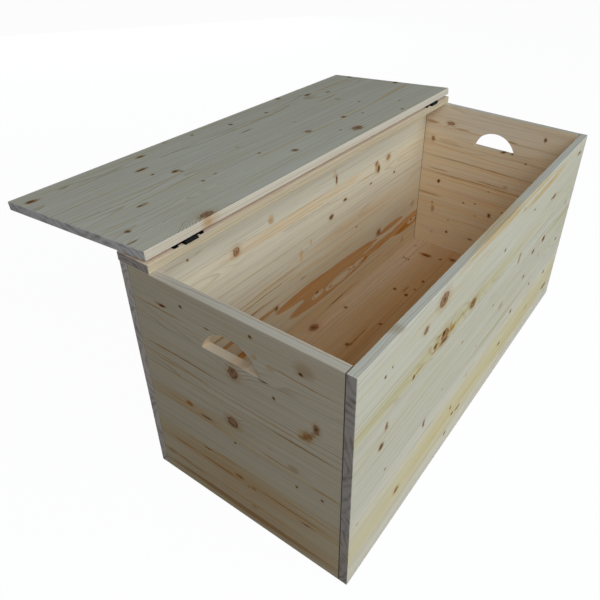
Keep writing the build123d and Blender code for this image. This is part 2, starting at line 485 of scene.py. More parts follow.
# %% Growth rings
SLOW = (420.0, 75.0, 1.5, 11)
FIBRE = (120.0, 1.7, 3.0, 17)
BAND = (520.0, 22.0, 2.0, 23)
STREAK = (320.0, 4.5, 2.0, 41)
RING_DRIFT = 30.0          # how far a ring wanders along the board
RING_WAVER = 0.5
YEARS_APART = 91           # sets the years of one stave apart from those of the next
LEAST_VIGOUR = 0.15
EYE_VIGOUR = 0.6
LATE_START = (0.5, 0.92)   # late wood comes on in the second half of a year
LATE_END = (1.0, 0.94)     # and stops at once


def growth_rings(tree, board, place, marks, seed, rng):
    """The count of rings, the late wood in them, and the patterns that go with the grain."""
    across, through = place[ACROSS], place[THROUGH]
    pith_across, pith_through, yellow, ring_width = stave_channels(tree, across, board, rng)
    aside = across - pith_across
    deep = through - pith_through
    radius = (aside * aside + deep * deep) ** 0.5
    slow = stretched_noise(tree, place, SLOW, seed)
    edge = facing(tree, board.axes[ACROSS])
    bulge = 1 / (1 + marks.eyes * marks.eyes)
    shifted = radius + (slow - MEAN) * RING_DRIFT + bulge * board.push * (1 - edge)
    rings = shifted / ring_width + (marks.waver - MEAN) * RING_WAVER
    phase = rings.math("FRACT", rings)
    year = rings.math("FLOOR", rings)
    own_year = year + yellow * YEARS_APART
    vigour = tree.add("ShaderNodeTexWhiteNoise", {"noise_dimensions": "1D"}, {"W": own_year})
    strength = vigour * vigour * (1 - LEAST_VIGOUR) + LEAST_VIGOUR + bulge * EYE_VIGOUR
    return SimpleNamespace(
        rings=rings,
        late=phase.rise(*LATE_START) * phase.rise(*LATE_END) * strength,
        bulge=bulge,
        edge=edge,
        yellow=yellow,
        fibre=stretched_noise(tree, place, FIBRE, seed),
        band=stretched_noise(tree, place, BAND, seed),
        streak=stretched_noise(tree, place, STREAK, seed),
    )


print("late wood fills", round(1 - sum(LATE_START) / 2, 2), "of a ring")

# %% [markdown]
# ## Pine: colour of the clear wood
# The layers follow in the order in which they lie in the wood. First comes pale early wood, with another
# tone on one face: the edge at the hinges, or the inner one, which is fresher wood and is also painted
# brighter and warmer, as painted light for the glow that bounces about inside the box. Washes are broad
# soft bands with a tone of their own, such as a deep yellow stave; on some boards they are painted light,
# and on others painted shade, where a wall catches more or less light. Late wood, fibres and fine streaks
# could be painted over them in brown, but then every stave would get the same brown. So they are stains,
# which multiply what lies under them. Last the edges get a cool grey, which is painted skylight.

# %% Colours
def tint(red, green, blue):
    """A colour written in the usual 0 to 255, as the linear values that sockets hold."""
    def linear(value):
        share = value / 255
        return share / 12.92 if share <= 0.04045 else ((share + 0.055) / 1.055) ** 2.4
    return (linear(red), linear(green), linear(blue), 1.0)


def dye(red, green, blue):
    """The shares of red, green and blue light that a stain lets through."""
    return (red, green, blue, 1.0)


print("middle grey is", [round(value, 3) for value in tint(128, 128, 128)])

# %% Clear wood
YELLOW = dye(1.0, 0.93, 0.70)
LATE = dye(0.59, 0.42, 0.27)
# painted skylight: a cool grey that stands for the sky light the upward edges catch
SKY_GREY = dye(0.82, 0.88, 0.98)
FRESH_AND_LIT_SKIN = (1.2, 0.4)    # millimetres from the face with the fresh and lit tone
STAVE_YELLOW = 0.45
BAND_YELLOW = 1.2
EDGE_CALM = 0.8            # edges take up less of the yellow
WASH_FADE = (1.25, 0.2)
WASH_LEAST = 0.2
WASH_BAND = 1.1
FIBRE_DARK = (0.45, 0.85)
FIBRE_SHARE = 0.25
STREAK_DARK = (0.42, 0.72)
SKY_GREY_SHARE = 0.5


def clear_wood(tree, board, place, marks, grain):
    """Early wood, bands of tone and of painted light and shade, stained by late wood, fibres, streaks,
    painted skylight.
    """
    # the face with another tone: fresher wood, and on the inside of the box painted light for the bounced
    # glow
    fresh = abs(place[board.fresh[0]] - board.fresh_place).rise(*FRESH_AND_LIT_SKIN)
    colour = tree.mix(fresh, board.pale, board.fresh_tone)
    yellowness = grain.yellow * STAVE_YELLOW + (grain.band - MEAN) * BAND_YELLOW
    colour = tree.stain(yellowness * (1 - grain.edge * EDGE_CALM), colour, YELLOW)
    patchy = WASH_LEAST + grain.band * WASH_BAND
    # on some boards these bands are painted light and painted shade rather than wood
    for tone, wash in [*board.washes, (board.gold, board.golden)]:
        share = nearest(tree, marks.streak_spot, wash).rise(*WASH_FADE)
        colour = tree.mix(share * patchy, colour, tone)
    lines = board.ring_strength + grain.edge * board.edge_lines + grain.bulge * board.eye_lines
    colour = tree.stain(grain.late * lines, colour, LATE)
    colour = tree.stain(grain.fibre.rise(*FIBRE_DARK) * FIBRE_SHARE, colour, LATE)
    streaky = grain.streak.rise(*STREAK_DARK) * (1 - marks.sawn)
    colour = tree.stain(streaky * board.streak, colour, LATE)
    # painted skylight: the edges away from the toned face are stained a cool grey
    return tree.stain(grain.edge * (1 - fresh) * SKY_GREY_SHARE, colour, SKY_GREY)


print("stains of clear wood:", YELLOW[:3], LATE[:3], SKY_GREY[:3])

# %% [markdown]
# ## Pine: resin and heartwood
# Amber lines are faint, resin is darker and shows the fibres. Heartwood is the old middle of a log, which
# is orange-brown with a crisp border. Where the saw just touched it, pale eyes stay inside it: each is cut
# out of the heartwood, with one thin ring of it left. The glue lines between the staves come last.

# %% Resin and heartwood
AMBER = dye(0.95, 0.70, 0.38)
RESIN = dye(0.62, 0.39, 0.16)
HEARTWOOD = dye(0.82, 0.41, 0.12)
GLUE = dye(0.47, 0.36, 0.26)
AMBER_FADE = (1.2, 0.4)
AMBER_FIBRE = (0.9, 0.2)   # how far fibres break up amber, and what is left without them
RESIN_FADE = (1.15, 0.5)
RESIN_FIBRE = (0.7, 0.35)
HEART_FADE = (1.04, 0.94)
HEART_RINGS = (0.5, 0.7)   # how far the rings show in heartwood, and its strength without them
HOLLOW_FADE = (0.85, 0.97)
EYE_FADE = (0.92, 1.0)
EYE_RING_IN = (0.56, 0.64)
EYE_RING_OUT = (0.82, 0.74)
EYE_RING_SHARE = 0.8


def heart_share(tree, board, spot):
    """Where heartwood lies, with its hollows and pale eyes left out."""
    heart = nearest(tree, spot, board.heart)
    hollow = nearest(tree, spot, board.hollow)
    iris = nearest(tree, spot, board.iris)
    eye_ring = iris.rise(*EYE_RING_IN) * iris.rise(*EYE_RING_OUT) * EYE_RING_SHARE
    clear = hollow.rise(*HOLLOW_FADE) * iris.rise(*EYE_FADE).larger(eye_ring)
    return heart.rise(*HEART_FADE) * clear


def resinous(tree, board, place, marks, grain, colour):
    """Adds amber, resin, heartwood and glue lines; also gives the share of resin."""
    spot = marks.streak_spot
    if board.amber:
        amber = nearest(tree, spot, board.amber).rise(*AMBER_FADE)
        colour = tree.stain(amber * (grain.fibre * AMBER_FIBRE[0] + AMBER_FIBRE[1]), colour, AMBER)
    resin = nearest(tree, spot, board.resin).rise(*RESIN_FADE)
    colour = tree.stain(resin * (grain.fibre * RESIN_FIBRE[0] + RESIN_FIBRE[1]), colour, RESIN)
    if board.heart:
        share = heart_share(tree, board, spot) * (HEART_RINGS[1] + grain.late * HEART_RINGS[0])
        colour = tree.stain(share, colour, HEARTWOOD)
    if len(board.staves) > 1:
        colour = tree.stain(glue_lines(place[ACROSS], board) * board.glue, colour, GLUE)
    return colour, resin


print("stains of resin and heartwood:", AMBER[:3], RESIN[:3], HEARTWOOD[:3])

# %% [markdown]
# ## Pine: sawn ends, cut holes and seams
# Sawn ends drink in the light and come out grey, with broad arcs where groups of rings cross them. The rim
# of a hand hole was cut later than the boards were planed, so it is cleaner and warmer. A thin dark line
# of painted shadow stands in the gap where a side butts against the front and the back.

# %% Sawn and cut faces
CUT = tint(230, 201, 160)
SEAM_SHADOW = tint(62, 50, 42)
ARC_RINGS = 0.27           # arcs for each ring: about four rings make one
ARC_HALF = 0.5
ARC_SHARE = 1.5
END_LATE = 0.3
END_BAND = (0.65, 1.8)
SAWN_SHARE = 0.88
HOLE_FADE = (1.5, 1.4)
CUT_SHARE = 0.65
CUT_SAWN_SHARE = 0.3       # more of it where the hole's rim cuts across the grain
SEAM_FADE = (2.2, 0.6)
SEAM_SHARE = 0.85


def sawn_and_cut(tree, board, place, marks, grain, colour):
    """Covers the sawn ends and the rim of a hand hole, and paints shadow into the seams."""
    groups = grain.rings * ARC_RINGS
    arcs = groups.math("PINGPONG", groups, ARC_HALF)
    banded = (grain.band - END_BAND[0]) * END_BAND[1]
    end_tone = tree.mix(arcs * ARC_SHARE + grain.late * END_LATE + banded, *board.sawn)
    colour = tree.mix(marks.sawn * SAWN_SHARE, colour, end_tone)
    if board.hole:
        cut_face = 1 - facing(tree, board.axes[THROUGH])
        spot = tree.add("ShaderNodeCombineXYZ", inputs={0: place[ALONG], 1: place[ACROSS]})
        near_hole = nearest(tree, spot, [board.hole]).rise(*HOLE_FADE)
        share = cut_face * near_hole * (CUT_SHARE + marks.sawn * CUT_SAWN_SHARE)
        colour = tree.mix(share, colour, CUT)
    if board.seams:
        # painted shadow: a dark line in the gap of the butt joint
        seam_shadow = abs(abs(place[ALONG]) - board.seam_place).rise(*SEAM_FADE)
        colour = tree.mix(seam_shadow * SEAM_SHARE, colour, SEAM_SHADOW)
    return colour


print("one arc on a sawn end is", round(1 / ARC_RINGS, 1), "rings")

# %% [markdown]
# ## Pine: knots on top
# Live knots grew together with the wood round them: they are reddish, with a broken dark rim and a warm
# halo. Dead ones were overgrown later and are nearly black. A knot just under the surface is only a brown
# shade.

# %% Knots
HALO = dye(0.80, 0.58, 0.38)
GHOST = dye(0.70, 0.55, 0.43)
KNOT_BODY = dye(0.66, 0.48, 0.38)
KNOT_RIM = dye(0.32, 0.19, 0.14)
KNOT_HEART = dye(0.20, 0.10, 0.07)
DEAD_BODY = dye(0.46, 0.33, 0.25)
DEAD_CORE = dye(0.22, 0.15, 0.11)
SHADE_FADE = (1.25, 0.35)
SHADE_SHARE = 0.6
LIVE_HALO = (2.4, 0.9)
LIVE_HALO_SHARE = 0.45
LIVE_RIM = (0.5, 0.95)
RIM_BROKEN = (0.36, 0.56)
LIVE_HEART = (0.65, 0.15)
HEART_BROKEN = (0.4, 0.6)
LIVE_FADE = (1.12, 0.9)
LIVE_SHARE = 0.92
DEAD_HALO = (2.0, 0.9)
DEAD_HALO_SHARE = 0.5
DEAD_MIDDLE = (0.8, 0.35)
DEAD_FADE = (1.15, 0.85)


def knots(tree, board, marks, colour):
    """Adds shades, live knots and dead knots."""
    live, dead = marks.live, marks.dead
    colour = tree.stain(marks.shade.rise(*SHADE_FADE) * SHADE_SHARE, colour, GHOST)
    colour = tree.stain(live.rise(*LIVE_HALO) * LIVE_HALO_SHARE, colour, HALO)
    rim = live.rise(*LIVE_RIM) * marks.ragged.rise(*RIM_BROKEN)
    heart = live.rise(*LIVE_HEART) * marks.waver.rise(*HEART_BROKEN)
    inside = tree.mix(rim, KNOT_BODY, KNOT_RIM)
    inside = tree.mix(heart, inside, KNOT_HEART)
    colour = tree.stain(live.rise(*LIVE_FADE) * LIVE_SHARE, colour, inside)
    colour = tree.stain(dead.rise(*DEAD_HALO) * DEAD_HALO_SHARE, colour, HALO)
    inside = tree.mix(dead.rise(*DEAD_MIDDLE), DEAD_BODY, DEAD_CORE)
    return tree.stain(dead.rise(*DEAD_FADE) * board.dead_share, colour, inside)


print("halo of a live knot:", LIVE_HALO[0], "times its size")

# %% [markdown]
# ## Pine: the whole finish
# Now the layers are put together. Raw pine is matt, so its specular level is nought: with any shine, the
# white background would mirror in the lid and wash out its dark knots. Late wood and knots stand a little
# proud after sanding, so the same fields feed a shallow bump, and the roughness too, for whoever turns the
# level up to varnish the box. What most boards share stands in one place, and each says what is its own.

# %% What most boards share
USUAL_BOARD = {
    "swung": False,         # drawn turned about the hinge pin
    "pale": tint(218, 204, 174),
    # inner faces: fresher wood, painted brighter and warmer as painted light for the bounce inside the box
    "fresh_tone": tint(240, 217, 182),
    "gold": tint(218, 194, 140),
    "sawn": (tint(182, 165, 152), tint(106, 92, 84)),
    "streak": 0.23,         # strength of the fine streaks
    "edge_lines": 0.15,     # how much stronger the rings are on the edges
    "eye_lines": 0.05,      # and round large knots
    "push": 16,             # how far a large knot pushes the rings aside
    "dead_share": 0.95,
    "glue": 0.3,
    "washes": (),
    "amber": (),
    "eyes": (),
    "heart": (),
    "hole": None,
    "seams": False,
}
print("shared by most boards:", ", ".join(USUAL_BOARD))

# %% One board
SEED_SPAN = 50
ROUGHNESS = 0.66
ROUGH_LATE, ROUGH_FIBRE, ROUGH_RESIN, ROUGH_KNOT = 0.1, 0.16, 0.12, 0.14
HIGH_LATE, HIGH_FIBRE, HIGH_KNOT = 0.55, 0.5, 0.3
KNOTTY = (1.1, 0.8)
PINE_RELIEF = {"Strength": 0.35, "Distance": 0.0004}
MATT = 0.0


def dress(name, material):
    """Gives a CAD node its finish; the node's mesh stays as it is."""
    slots = frame["nodes"][name].data.materials
    slots.clear()
    slots.append(material)


def cover(tree, skin):
    """Ends a finish: one Principled shader with these inputs, on the material's output."""
    shader = tree.add("ShaderNodeBsdfPrincipled", inputs=skin)
    tree.add("ShaderNodeOutputMaterial", inputs={"Surface": shader}, outputs=())


def measured(name, own):
    """A board with its own values, the usual ones and the places measured on its mesh."""
    board = SimpleNamespace(**{**USUAL_BOARD, **own})
    limits = board_limits(name, board.axes, board.swung)
    fresh_and_lit_axis, fresh_and_lit_side = board.fresh
    board.span = limits[ACROSS]
    board.middle = sum(limits[THROUGH]) / 2
    board.face_place = limits[THROUGH][board.face]
    board.fresh_place = limits[fresh_and_lit_axis][fresh_and_lit_side]
    board.seam_place = limits[ALONG][HIGH]
    return board


def pine(name, **own):
    """Makes the finish of one glued board and gives it to its node."""
    board = measured(name, own)
    material, tree = new_finish(name + "_pine")
    rng = random.Random(board.seed)
    seed = rng.uniform(0, SEED_SPAN)
    place = grain_place(tree, board.axes, board.swung)
    marks = laid_marks(tree, board, place, seed)
    grain = growth_rings(tree, board, place, marks, seed, rng)
    colour = clear_wood(tree, board, place, marks, grain)
    colour, resin = resinous(tree, board, place, marks, grain, colour)
    colour = sawn_and_cut(tree, board, place, marks, grain, colour)
    colour = knots(tree, board, marks, colour)

    knotty = marks.live.smaller(marks.dead).rise(*KNOTTY)
    smooth = grain.late * ROUGH_LATE + resin * ROUGH_RESIN + knotty * ROUGH_KNOT
    rough = ROUGHNESS + (grain.fibre - MEAN) * ROUGH_FIBRE - smooth
    height = grain.late * HIGH_LATE + grain.fibre * HIGH_FIBRE + knotty * HIGH_KNOT
    relief = tree.add("ShaderNodeBump", inputs={**PINE_RELIEF, "Height": height})
    cover(tree, {"Base Color": colour, "Roughness": rough, "Normal": relief, "Specular IOR Level": MATT})
    dress(name, material)
    print(name, "pine:", len(tree.nodes), "nodes, across", board.span, "mm")


print("relief of pine:", PINE_RELIEF)

# %% [markdown]
# ## Front panel
# The front faces the light, so its staves read clearly: a yellow one low down, another with a row of
# joined knots and resin, and pale ones between. Random knots would make a good board too, but here each
# is placed where the real one has it, in millimetres from the middle of the box and from the floor.

# %% Front panel
pine(
    "front_panel", axes="XZY", face=LOW, fresh=(THROUGH, HIGH), seed=21,
    ring_strength=0.35, streak=0.17,
    pale=tint(221, 209, 181), gold=tint(231, 209, 150),
    washes=[
        # painted light: the lower part of the front is washed brighter
        (tint(244, 230, 205), [(0, 80, 1400, 140)]),
        (tint(210, 192, 139), [(-300, 384, 480, 25), (60, 199, 260, 9), (480, 304, 120, 9)]),
    ],
    staves=[(54, 0.75), (158, 0.95), (206, 0.1), (304, 0.3), (360, 0.15), (410, 0.5), (512, 0.25)],
    live=[
        (-283, 481, 17, 14), (-342, 454, 8, 7), (-256, 385, 15, 14), (-452, 329, 4, 8), (335, 421, 9, 5),
        (-388, 91, 8, 7), (-132, 381, 13, 11),
    ],
    dead=[
        (-470, 452, 3, 3), (-449, 457, 2, 2), (-370, 371, 4, 4), (-465, 292, 7, 7), (-155, 297, 4, 2),
        (5, 288, 4, 2), (332, 301, 10, 8), (253, 302, 9, 5), (-157, 112, 5, 4), (-140, 79, 6, 4),
        (-167, 40, 6, 4), (165, 172, 7, 5), (477, 68, 18, 5), (12, 428, 5, 4), (178, 451, 5, 2),
        (-443, 211, 4, 2), (430, 145, 8, 4), (-293, 384, 6, 6), (-262, 394, 5, 6), (-255, 371, 18, 2),
        (320, 422, 8, 2), (-297, 190, 3, 7), (-114, 73, 13, 2.5), (215, 249, 5, 3), (290, 183, 4, 4),
        (482, 229, 7, 2.5), (122, 96, 6, 3), (502, 479, 12, 3),
    ],
    shade=[
        (-428, 516, 15, 8), (-297, 192, 8, 14), (95, 488, 9, 5), (340, 420, 14, 6), (215, 247, 11, 9),
        (65, 250, 15, 13), (485, 343, 13, 9), (480, 228, 13, 6), (500, 477, 22, 6), (290, 182, 9, 7),
        (122, 95, 13, 7), (318, 87, 9, 10), (-110, 72, 14, 5), (-225, 224, 6, 4), (-90, 156, 9, 4),
        (-525, 155, 6, 4), (-60, 217, 5, 4), (315, 262, 8, 5), (500, 40, 10, 7),
    ],
    resin=[
        (-352, 377, 16, 2), (-226, 384, 11, 8), (-190, 386, 42, 2), (-285, 400, 24, 1.8),
        (-296, 375, 16, 2), (140, 350, 13, 9), (138, 337, 10, 11),
    ],
    amber=[
        (-50, 506, 210, 11), (170, 508, 120, 6), (230, 483, 140, 11), (330, 493, 70, 5),
        (-352, 377, 22, 5), (-226, 384, 16, 12), (-330, 478, 70, 2), (-130, 481, 90, 2),
        (60, 290, 260, 1.5), (200, 70, 300, 3), (-150, 92, 240, 2), (-280, 376, 30, 4),
        (-240, 56, 160, 2),
    ],
    golden=[(0, 96, 1200, 66), (200, 66, 420, 26)],
)

# %% [markdown]
# ## Left side panel
# This side lies in shade. Brown resin lines run along it, one over each of the lower staves, and a large
# dark knot sits below the hand hole. The hole is given as an ellipse too, so that its rim can be found.

# %% Left side panel
HAND_HOLE = (0, 436, 66, 29)
pine(
    "left_side_panel", axes="YZX", face=LOW, fresh=(THROUGH, HIGH), seed=34,
    ring_strength=0.48, streak=0.2, hole=HAND_HOLE, seams=True,
    pale=tint(217, 199, 169), gold=tint(210, 174, 128),
    staves=[(56, 0.95), (150, 0.9), (254, 0.4), (306, 0.35), (410, 0.2), (512, 0.25)],
    live=[(8, 266, 13, 11), (-5, 390, 10, 12), (-172, 367, 6, 10)],
    dead=[
        (-145, 466, 4, 3), (-50, 489, 3, 3), (100, 477, 3, 3), (148, 458, 7, 2.5), (-70, 408, 9, 1.4),
        (-90, 385, 3, 3), (75, 235, 16, 2), (-185, 202, 3, 2.5), (-130, 196, 2.5, 2.5),
        (-150, 102, 15, 1.4), (85, 143, 9, 1.4), (8, 212, 2.5, 2.5),
    ],
    shade=[
        (-20, 417, 13, 8), (-26, 416, 8, 5), (-150, 475, 22, 16), (-125, 240, 14, 9), (-25, 52, 9, 5),
        (200, 55, 16, 8), (-155, 340, 9, 18),
    ],
    resin=[
        (-140, 303, 70, 2), (150, 355, 70, 1.5), (7, 119, 12, 4), (55, 111, 40, 2), (130, 52, 30, 2),
        (-166, 353, 5, 7), (-160, 345, 6, 8), (-152, 337, 7, 7), (-144, 329, 9, 6), (117, 246, 10, 8),
        (150, 459, 18, 3), (-28, 110, 7, 5), (-15, 106, 5, 3), (0, 22, 260, 9), (45, 459, 7, 3),
        (-150, 449, 70, 1.2), (150, 446, 70, 1.2), (110, 356, 110, 1.6), (130, 330, 100, 1.0),
        (-90, 235, 45, 1.5), (-190, 223, 35, 1.8), (-110, 116, 90, 1.4), (60, 110, 60, 2.2),
        (150, 110, 40, 2), (165, 57, 25, 2),
    ],
    amber=[
        (-4, 418, 6, 7), (60, 111, 65, 2.5), (-110, 116, 100, 1.8), (160, 108, 60, 2), (128, 52, 60, 2),
        (190, 60, 40, 2), (-130, 303, 90, 2), (130, 355, 90, 1.8), (7, 119, 14, 5), (117, 245, 13, 10),
        (145, 239, 40, 3), (-120, 320, 50, 2), (-152, 338, 18, 16), (150, 303, 70, 1.6),
        (-54, 451, 8, 6), (-86, 445, 12, 6), (-150, 449, 70, 2), (160, 447, 80, 2), (150, 334, 90, 2),
        (130, 328, 110, 2), (-60, 318, 90, 2), (-90, 236, 60, 2), (-40, 222, 150, 2), (100, 226, 120, 3),
        (-190, 223, 50, 2), (60, 303, 90, 1.6), (-20, 292, 60, 1.6), (-150, 138, 90, 3),
        (80, 146, 100, 3), (60, 74, 150, 3), (-30, 62, 120, 3),
    ],
    golden=[(0, 110, 300, 45), (0, 40, 300, 40), (120, 240, 150, 20)],
)

# %% [markdown]
# ## Back panel
# Inside the box the second stave of the back was cut close to the heart of its log: a broad orange-brown
# streak with pale eyes in it. It is made of a few overlapping ellipses, with the eyes taken out.

# %% Back panel
pine(
    "back_panel", axes="XZY", face=LOW, fresh=(THROUGH, LOW), seed=47,
    ring_strength=0.36,
    fresh_tone=tint(240, 224, 191), gold=tint(238, 206, 156),
    sawn=(tint(218, 201, 187), tint(144, 128, 117)),
    # painted shade: the top stave is washed darker, against the strong light it gets near the opening
    washes=[(tint(222, 209, 180), [(-100, 446, 1000, 38)])],
    staves=[(88, 0.6), (190, 0.6), (256, 0.6), (324, 0.3), (416, 0.35), (512, 0.2)],
    live=[(-296, 407, 10, 10), (317, 406, 9, 8), (255, 408, 7, 6), (290, 175, 11, 10), (-180, 184, 6, 6)],
    dead=[
        (-423, 452, 3, 3), (65, 433, 4, 11), (44, 336, 9, 7), (105, 361, 8, 4), (230, 358, 5, 3),
        (356, 346, 5, 4), (268, 388, 6, 9), (165, 251, 3, 2), (-17, 135, 6, 3), (75, 55, 34, 2),
        (497, 127, 5, 4),
    ],
    shade=[(-75, 215, 15, 4), (445, 75, 10, 12), (495, 185, 16, 13), (-184, 428, 11, 8)],
    resin=[
        (140, 57, 70, 2), (262, 395, 16, 14), (-320, 218, 150, 4), (-240, 246, 150, 1.5),
        (-180, 262, 120, 1.5),
    ],
    amber=[
        (-184, 432, 11, 15), (57, 449, 7, 13), (-80, 285, 8, 24), (-42, 305, 6, 10), (400, 322, 130, 2),
        (-220, 258, 190, 2.5), (10, 229, 120, 2.5), (-60, 236, 120, 2), (-300, 220, 140, 3),
        (140, 234, 120, 2), (-110, 391, 240, 2.5), (90, 397, 90, 2.5), (205, 388, 45, 2.5),
        (-60, 410, 280, 2.5), (440, 395, 100, 2), (430, 354, 110, 2), (-330, 246, 110, 2),
        (60, 204, 260, 2),
    ],
    # the last band, low on the back, is painted shade: darker and warmer towards the floor of the box
    golden=[(-130, 401, 230, 9), (140, 406, 40, 7), (190, 270, 260, 30), (0, 64, 900, 44)],
    heart=[
        (-50, 165, 135, 17), (90, 162, 160, 17), (215, 153, 70, 11), (60, 123, 195, 23),
        (60, 141, 150, 28), (300, 127, 120, 13), (500, 126, 135, 25), (365, 164, 72, 10),
        (-320, 184, 150, 7), (-285, 127, 90, 10),
    ],
    hollow=[(-130, 143, 64, 8), (345, 147, 100, 6), (500, 121, 32, 10)],
    iris=[(92, 123, 72, 17), (-14, 129, 28, 9), (180, 123, 34, 10)],
)

# %% [markdown]
# ## Right side panel, bottom and rail
# The right side and the bottom are seen from inside, in warm light that has bounced off the other boards;
# their inner faces carry painted light for it as well. The rail is a single narrow board, and its front
# edge is a little darker and yellower than its top, which is painted lighter for the light under the lid's
# edge.

# %% Right side panel
pine(
    "right_side_panel", axes="YZX", face=LOW, fresh=(THROUGH, LOW), seed=58,
    ring_strength=0.28, hole=HAND_HOLE, seams=True,
    fresh_tone=tint(248, 224, 187), gold=tint(236, 196, 146),
    # painted light: the top of the inner face is washed brighter
    washes=[(tint(255, 238, 208), [(120, 470, 320, 60)])],
    staves=[(100, 0.7), (198, 0.6), (300, 0.5), (352, 0.4), (446, 0.4), (512, 0.3)],
    live=[(140, 460, 11, 5), (192, 402, 5, 7), (-22, 207, 5, 6)],
    dead=[
        (-140, 478, 4, 6), (157, 270, 4, 6), (108, 103, 4, 4), (-28, 413, 7, 3), (25, 104, 6, 2),
        (-8, 282, 3, 2), (-100, 397, 3, 2), (65, 222, 4, 2), (-54, 416, 5, 4), (28, 230, 3, 2),
        (-60, 228, 3, 2),
    ],
    shade=[(-55, 312, 9, 6), (108, 145, 6, 4), (160, 85, 6, 5), (-150, 180, 12, 10), (22, 190, 5, 4)],
    resin=[
        (0, 297, 240, 3), (-15, 306, 60, 3), (160, 309, 40, 2), (190, 218, 55, 4), (0, 348, 220, 2.5),
        (167, 172, 7, 14), (170, 193, 5, 5), (200, 456, 26, 5), (100, 452, 26, 3), (-22, 205, 7, 6),
        (25, 104, 12, 3), (108, 103, 6, 5), (158, 270, 6, 6), (-50, 452, 14, 4),
    ],
    amber=[
        (60, 446, 190, 2), (-60, 245, 110, 2), (30, 238, 170, 2), (0, 232, 120, 2), (60, 292, 200, 2),
        (-20, 340, 200, 2), (60, 190, 190, 2), (0, 150, 190, 2), (30, 285, 180, 2), (60, 380, 190, 2),
    ],
    golden=[(0, 250, 250, 10)],
)

# %% Bottom panel
pine(
    "bottom_panel", axes="XYZ", face=HIGH, fresh=(THROUGH, HIGH), seed=63,
    ring_strength=0.42, streak=0.17, glue=0.6, dead_share=0.8,
    # painted light and shade: the floor of the box is washed lighter near the back wall
    fresh_tone=tint(226, 194, 152), gold=tint(214, 164, 108),
    washes=[(tint(234, 208, 174), [(380, 190, 360, 44)])],
    eyes=[(-260, -60, 11, 9)],
    staves=[(-130, 0.6), (-30, 0.5), (66, 0.6), (172, 0.5), (228, 0.15)],
    live=[
        (-48, 210, 14, 11), (455, 133, 7, 12), (480, 52, 7, 10), (-260, -60, 11, 9), (150, -140, 10, 9),
    ],
    dead=[
        (75, 190, 5, 5), (235, 122, 5, 5), (228, 80, 5, 5), (70, 72, 4, 4), (318, 72, 4, 4),
        (400, 186, 6, 2), (400, 177, 6, 2), (400, 168, 6, 2), (-52, 100, 5, 4), (460, 85, 5, 5),
        (-330, 110, 6, 5),
    ],
    shade=[(485, 190, 12, 6), (-45, 92, 9, 6), (265, 72, 6, 5), (-400, -150, 14, 10)],
    resin=[
        (-10, 94, 60, 3), (253, 94, 22, 4), (-250, -20, 260, 4), (236, 122, 6, 5), (228, 80, 6, 5),
        (-52, 97, 9, 5), (455, 140, 9, 24), (268, 72, 6, 5), (318, 72, 7, 5),
    ],
    # painted shade: darker, more orange bands over the front and middle of the floor of the box
    golden=[(0, 40, 800, 110), (0, -160, 700, 60)],
)

# %% Hinge rail
pine(
    "hinge_rail", axes="XYZ", face=HIGH, fresh=(ACROSS, LOW), seed=71,
    ring_strength=0.4,
    # painted light: the top is a lighter tone for the light that reaches it under the lid's edge
    pale=tint(240, 214, 184), fresh_tone=tint(220, 198, 160),
    staves=[(242, 0.35)],
    live=[(-250, 215, 8, 7), (120, 196, 9, 8), (400, 222, 7, 6)],
    dead=[(-70, 205, 4, 3), (300, 185, 3, 3)],
    shade=[(-420, 190, 10, 7), (480, 200, 9, 6)],
    resin=[(250, 200, 200, 4)],
    golden=[(300, 215, 250, 12)],
)

# %% [markdown]
# ## Lid
# The lid lies back with its inner face up. Its boards are pale and even, with a thin line of resin along
# one stave and a knot at the hinge edge that the rings run round. Across is measured from the hinge pin.

